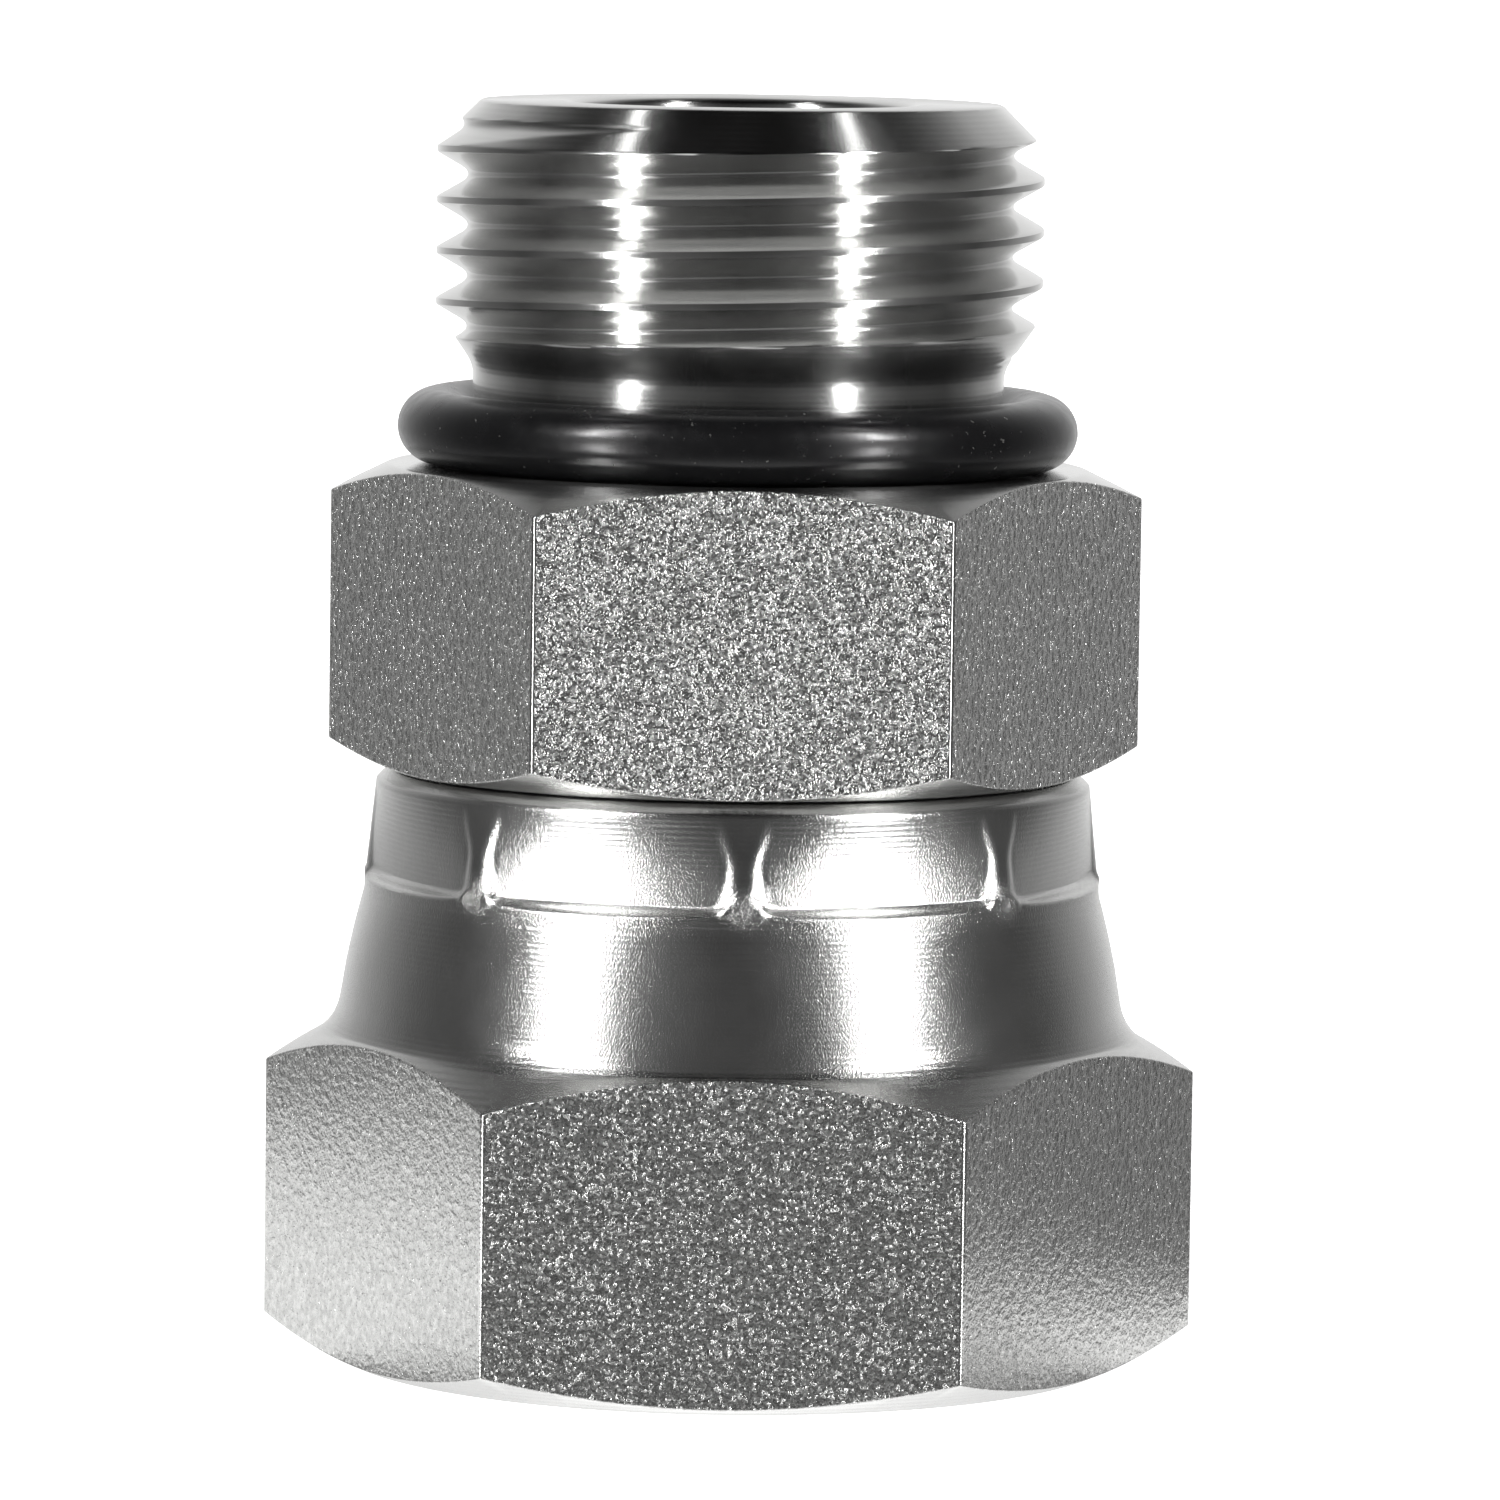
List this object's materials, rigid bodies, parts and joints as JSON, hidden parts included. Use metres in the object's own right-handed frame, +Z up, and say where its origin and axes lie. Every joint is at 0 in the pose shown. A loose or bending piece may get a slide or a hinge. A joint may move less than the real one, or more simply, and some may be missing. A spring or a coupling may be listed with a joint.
{
  "type": "swivel adapter",
  "caption": "Straight hydraulic adapter with an O-ring boss stud, a hexagon body and a crimped female swivel nut that turns freely on the body's tail.",
  "frame": {"origin": "centre of the swivel nut's open face", "axes": "+Z up the flow axis, from the nut towards the stud; -Y out of one flat of the body hexagon"},
  "size_m": [0.0294, 0.0258, 0.0395],
  "materials": {
    "body_steel": "turned, with etched hexagon flats",
    "nut_steel": "turned, with etched hexagon flats",
    "seal_rubber": "smooth, slightly glossy"
  },
  "bodies": {
    "adapter": {"adapter_body": "body_steel", "o_ring": "seal_rubber"},
    "nut": {"swivel_nut": "nut_steel"}
  },
  "joints": [
    {"name": "nut_swivel", "type": "hinge", "parent": "adapter", "child": "nut", "pos_m": [0, 0, 0.0165], "axis": [0, 0, 1], "continuous": true}
  ]
}
